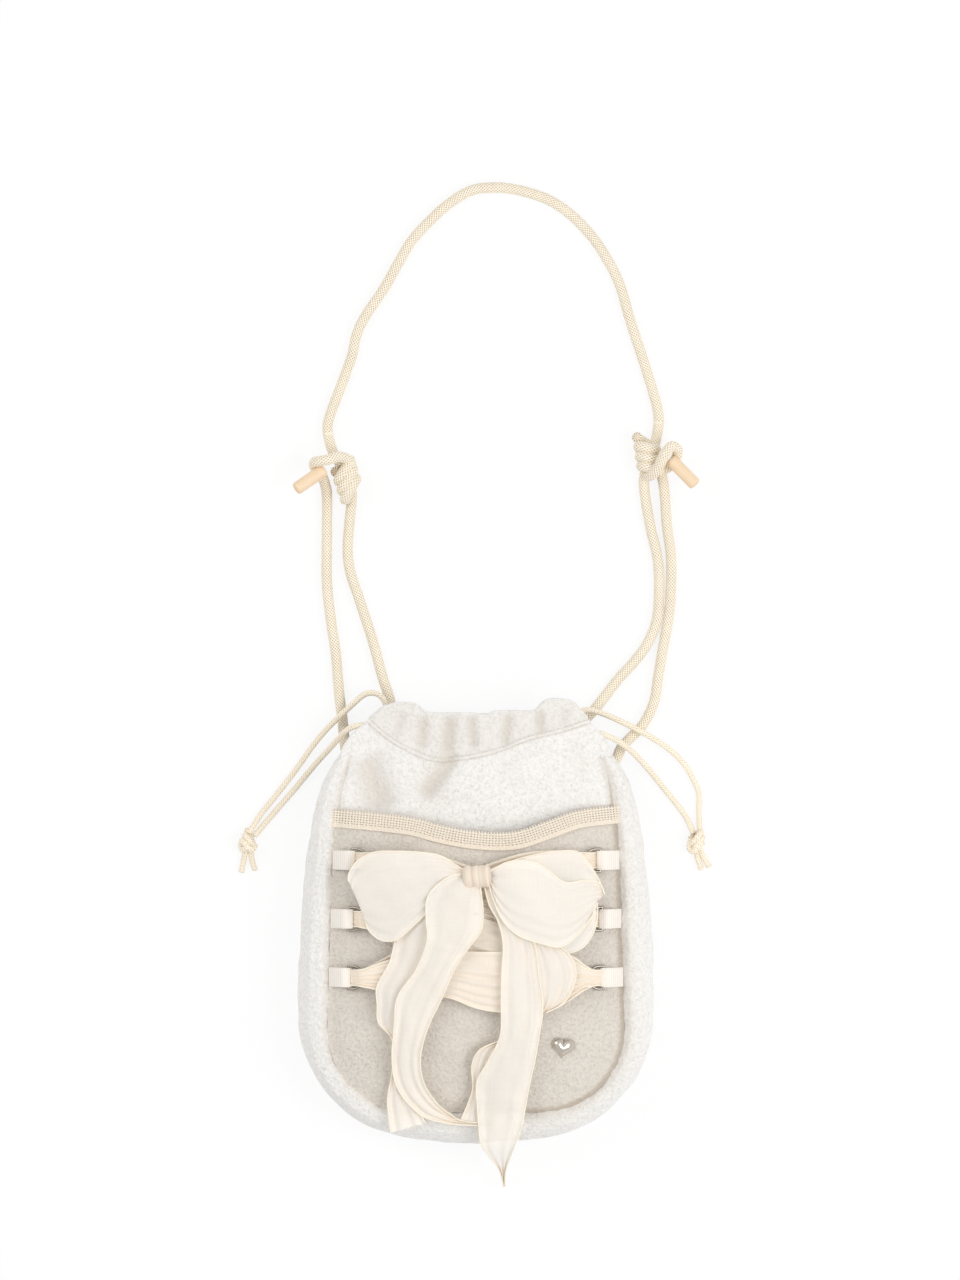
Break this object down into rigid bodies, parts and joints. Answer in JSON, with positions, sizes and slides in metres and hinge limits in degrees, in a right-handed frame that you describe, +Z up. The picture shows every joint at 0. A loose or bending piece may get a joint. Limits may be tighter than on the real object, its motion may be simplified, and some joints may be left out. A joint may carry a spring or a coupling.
{
  "type": "drawstring pouch",
  "caption": "Soft wool pouch with a drawn mouth, a ribbon laced through side rings and tied in a bow over its pocket, cord drawstrings and a rope strap with wooden toggles",
  "frame": {"origin": "on the table, on the flat outer face of the back panel, between the side seams", "axes": "X to the right, Y from the bottom of the pouch towards its mouth and strap, Z up from the table through the back panel to the bow"},
  "size_m": [0.2372, 0.5019, 0.0651],
  "materials": {
    "wool": "off-white boiled wool cloth",
    "tape": "cream twill and open-weave tape",
    "nickel": "bright nickel",
    "ribbon": "sheer ivory ribbon with corded edges",
    "rope": "cream braided cotton rope",
    "cord": "cream cotton cord",
    "wood": "plain light wood"
  },
  "bodies": {
    "pouch": {"back_panel": "wool", "front_panel": "wool", "gusset_upper": "wool", "gusset_lower": "wool", "front_casing": "wool", "rear_casing": "wool", "pocket_panel": "wool", "pocket_tape": "tape", "tab_left_top": "tape", "tab_left_middle": "tape", "tab_left_bottom": "tape", "tab_right_top": "tape", "tab_right_middle": "tape", "tab_right_bottom": "tape", "lacing_ribbon": "ribbon", "bow_loop_left": "ribbon", "bow_loop_right": "ribbon", "bow_knot": "ribbon", "bow_tail_left": "ribbon", "bow_tail_right": "ribbon", "heart_stud": "nickel", "heart_stud_cap": "nickel", "strap_tab_left": "tape", "strap_tab_right": "tape", "strap_anchor_left": "rope", "strap_anchor_right": "rope"},
    "strap_loops": {"strap_loop_left": "rope", "strap_loop_right": "rope", "strap_knot_left": "rope", "strap_knot_right": "rope"},
    "strap_top": {"strap_arch": "rope"},
    "left_toggle": {"toggle_left": "wood"},
    "right_toggle": {"toggle_right": "wood"},
    "left_drawstring": {"drawstring_left_front": "cord", "drawstring_left_rear": "cord", "drawstring_left_knot": "cord"},
    "right_drawstring": {"drawstring_right_front": "cord", "drawstring_right_rear": "cord", "drawstring_right_knot": "cord"},
    "ring_left_top": {"d_ring_left_top": "nickel"},
    "ring_left_middle": {"d_ring_left_middle": "nickel"},
    "ring_left_bottom": {"d_ring_left_bottom": "nickel"},
    "ring_right_top": {"d_ring_right_top": "nickel"},
    "ring_right_middle": {"d_ring_right_middle": "nickel"},
    "ring_right_bottom": {"d_ring_right_bottom": "nickel"}
  },
  "joints": [
    {"name": "strap_lift", "type": "hinge", "parent": "pouch", "child": "strap_loops", "pos_m": [0, 0.121, 0.0029], "axis": [1, 0, 0], "range_deg": [0, 100]},
    {"name": "strap_fold", "type": "hinge", "parent": "strap_loops", "child": "strap_top", "pos_m": [-0.074, 0.2425, 0.0029], "axis": [0.9994, 0.0332, 0], "range_deg": [0, 80]},
    {"name": "left_toggle_slide", "type": "slide", "parent": "strap_loops", "child": "left_toggle", "axis": [-0.7912, -0.554, 0.2588], "range_m": [0, 0.016]},
    {"name": "right_toggle_slide", "type": "slide", "parent": "strap_loops", "child": "right_toggle", "axis": [0.6841, -0.7084, 0.1736], "range_m": [0, 0.016]},
    {"name": "left_drawstring_pull", "type": "slide", "parent": "pouch", "child": "left_drawstring", "axis": [-1, 0, 0], "range_m": [0, 0.025]},
    {"name": "right_drawstring_pull", "type": "slide", "parent": "pouch", "child": "right_drawstring", "axis": [1, 0, 0], "range_m": [0, 0.025]},
    {"name": "ring_left_top_swing", "type": "hinge", "parent": "pouch", "child": "ring_left_top", "pos_m": [-0.06141, 0.031, 0.04139], "axis": [0, -1, 0], "range_deg": [0, 12]},
    {"name": "ring_left_middle_swing", "type": "hinge", "parent": "pouch", "child": "ring_left_middle", "pos_m": [-0.06239, 0.002, 0.04142], "axis": [0, -1, 0], "range_deg": [0, 12]},
    {"name": "ring_left_bottom_swing", "type": "hinge", "parent": "pouch", "child": "ring_left_bottom", "pos_m": [-0.06324, -0.027, 0.04131], "axis": [0, -1, 0], "range_deg": [0, 12]},
    {"name": "ring_right_top_swing", "type": "hinge", "parent": "pouch", "child": "ring_right_top", "pos_m": [0.06141, 0.031, 0.04139], "axis": [0, 1, 0], "range_deg": [0, 12]},
    {"name": "ring_right_middle_swing", "type": "hinge", "parent": "pouch", "child": "ring_right_middle", "pos_m": [0.06239, 0.002, 0.04142], "axis": [0, 1, 0], "range_deg": [0, 12]},
    {"name": "ring_right_bottom_swing", "type": "hinge", "parent": "pouch", "child": "ring_right_bottom", "pos_m": [0.06324, -0.027, 0.04131], "axis": [0, 1, 0], "range_deg": [0, 12]}
  ]
}
